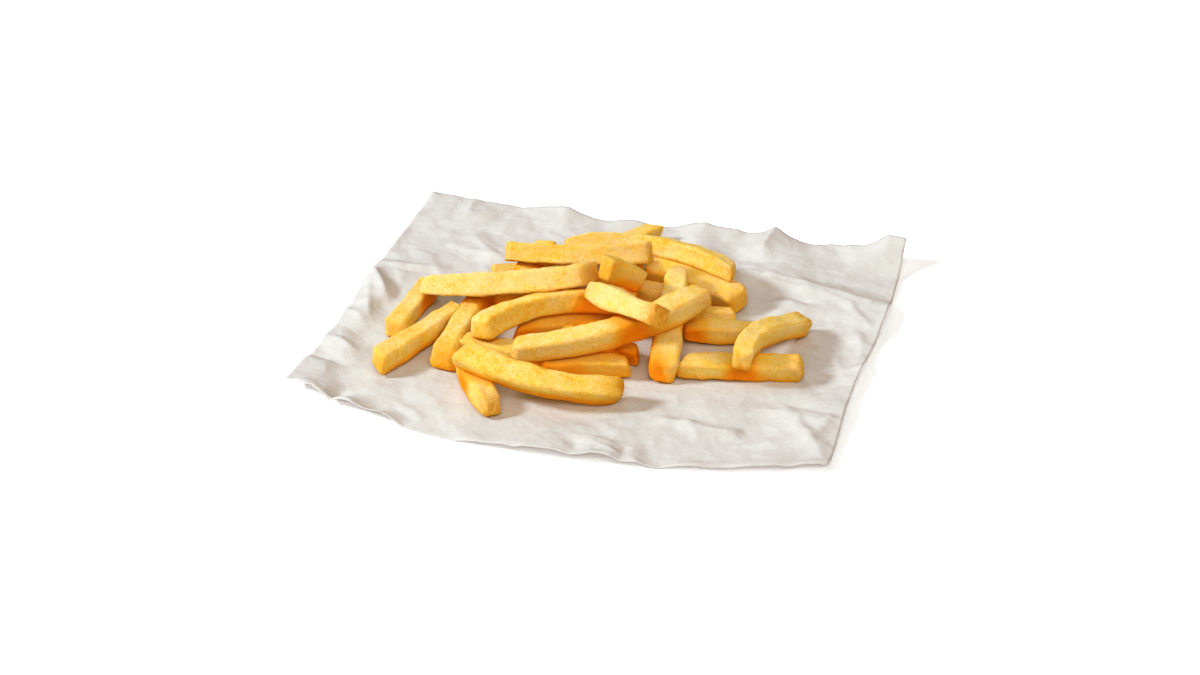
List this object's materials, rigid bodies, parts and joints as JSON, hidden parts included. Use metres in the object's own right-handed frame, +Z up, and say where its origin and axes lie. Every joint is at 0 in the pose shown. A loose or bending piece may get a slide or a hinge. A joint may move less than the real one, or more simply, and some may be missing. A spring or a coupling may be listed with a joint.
{
  "type": "french fries on a paper sheet",
  "caption": "Loose heap of thick-cut french fries, some bowed, lying crossed on a crumpled sheet of off-white greaseproof paper with lifted corners.",
  "frame": {"origin": "middle of the paper sheet's outline, on the table that the sheet rests on", "axes": "+X along the sheet's long front edge, towards its right end; +Y from the bowed front edge to the back; +Z up"},
  "size_m": [0.24, 0.213, 0.0402],
  "materials": {
    "fries": "fried potato, golden yellow with orange edges, slightly oily satin",
    "paper": "matt off-white greaseproof paper with soft creases"
  },
  "bodies": {
    "root": {"fries": "fries", "paper": "paper"}
  },
  "joints": []
}
